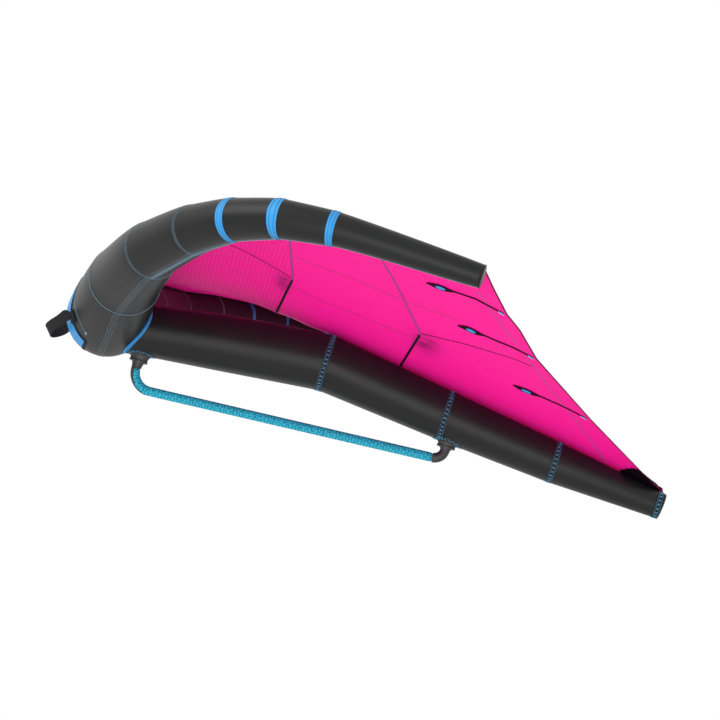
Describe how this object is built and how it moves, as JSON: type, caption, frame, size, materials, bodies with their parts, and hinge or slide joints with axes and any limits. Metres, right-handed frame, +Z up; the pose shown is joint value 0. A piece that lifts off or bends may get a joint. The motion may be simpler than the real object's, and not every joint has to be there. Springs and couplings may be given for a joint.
{
  "type": "wingfoil wing",
  "caption": "Hand-held inflatable wing: swept tubular leading edge, centre strut, sewn canopy with battens, and a rigid boom with a soft grip.",
  "frame": {"origin": "middle of the boom's straight grip", "axes": "+X aft along the strut, +Y across the span to the right, +Z up from the boom to the canopy"},
  "size_m": [2.207, 2.5498, 0.594],
  "materials": {
    "sleeve_cloth": "tight woven polyester, satin charcoal",
    "canopy_cloth": "coated ripstop, bright magenta",
    "blue_cloth": "woven polyester, bright blue",
    "bladder_film": "translucent film",
    "black_plastic": "moulded, lightly textured",
    "black_webbing": "woven webbing",
    "grip_foam": "soft moulded foam, teal with dark marks",
    "carbon": "carbon fibre tube",
    "screw_steel": "stainless steel",
    "batten_rod": "pultruded flat rod"
  },
  "bodies": {
    "wing": {"sleeve_centre": "sleeve_cloth", "sleeve_root_left": "sleeve_cloth", "sleeve_root_right": "sleeve_cloth", "sleeve_inner_left": "sleeve_cloth", "sleeve_inner_right": "sleeve_cloth", "sleeve_shoulder_left": "sleeve_cloth", "sleeve_shoulder_right": "sleeve_cloth", "sleeve_outer_left": "sleeve_cloth", "sleeve_outer_right": "sleeve_cloth", "sleeve_tip_left": "sleeve_cloth", "sleeve_tip_right": "sleeve_cloth", "tip_cap_left": "sleeve_cloth", "tip_cap_right": "sleeve_cloth", "strut_front": "sleeve_cloth", "strut_middle": "sleeve_cloth", "strut_rear": "sleeve_cloth", "strut_tail": "sleeve_cloth", "strut_end_cap": "sleeve_cloth", "canopy_front_left": "canopy_cloth", "canopy_front_right": "canopy_cloth", "canopy_front_outer_left": "canopy_cloth", "canopy_front_outer_right": "canopy_cloth", "canopy_middle_left": "canopy_cloth", "canopy_middle_right": "canopy_cloth", "canopy_middle_outer_left": "canopy_cloth", "canopy_middle_outer_right": "canopy_cloth", "canopy_rear_left": "canopy_cloth", "canopy_rear_right": "canopy_cloth", "canopy_rear_outer_left": "canopy_cloth", "canopy_rear_outer_right": "canopy_cloth", "trailing_strip_left": "canopy_cloth", "trailing_strip_right": "canopy_cloth", "batten_outer_left": "batten_rod", "batten_outer_right": "batten_rod", "batten_middle_left": "batten_rod", "batten_middle_right": "batten_rod", "batten_inner_left": "batten_rod", "batten_inner_right": "batten_rod", "boom_tube": "carbon", "boom_grip": "grip_foam", "boom_front_fitting": "black_plastic", "boom_rear_fitting": "black_plastic", "boom_foot_front": "black_plastic", "boom_foot_rear": "black_plastic", "boom_front_screw_1": "screw_steel", "boom_front_screw_2": "screw_steel", "boom_rear_screw_1": "screw_steel", "boom_rear_screw_2": "screw_steel", "leading_edge_bladder": "bladder_film", "strut_bladder": "bladder_film", "transfer_tube": "black_plastic", "nose_patch": "blue_cloth", "valve_base": "black_plastic", "strut_zip": "black_webbing"},
    "handle": {"nose_handle": "black_webbing"},
    "valve_insert": {"valve_insert": "black_plastic"},
    "valve_cap": {"valve_cap": "black_plastic"},
    "valve_flap": {"valve_flap": "bladder_film"},
    "zip_slider": {"zip_slider": "screw_steel"}
  },
  "joints": [
    {"name": "handle_swing", "type": "hinge", "parent": "wing", "child": "handle", "pos_m": [-0.82593, 0, 0.11359], "axis": [0, 1, 0], "range_deg": [-35, 35]},
    {"name": "valve_insert_turn", "type": "hinge", "parent": "wing", "child": "valve_insert", "pos_m": [-0.54845, 0.2668, 0.1788], "axis": [0.8626, 0.003, -0.5059], "range_deg": [0, 90]},
    {"name": "valve_cap_flip", "type": "hinge", "parent": "valve_insert", "child": "valve_cap", "pos_m": [-0.54142, 0.23585, 0.16154], "axis": [-0.4761, 0.3432, -0.8097], "range_deg": [0, 150]},
    {"name": "valve_flap_open", "type": "hinge", "parent": "valve_insert", "child": "valve_flap", "pos_m": [-0.55188, 0.25271, 0.17484], "axis": [0.4761, -0.3432, 0.8097], "range_deg": [0, 25], "stiffness_Nm_per_rad": 0.004},
    {"name": "zip_slide", "type": "slide", "parent": "wing", "child": "zip_slider", "axis": [0.9933, -0.0255, -0.1124], "range_m": [0, 0.34]}
  ]
}
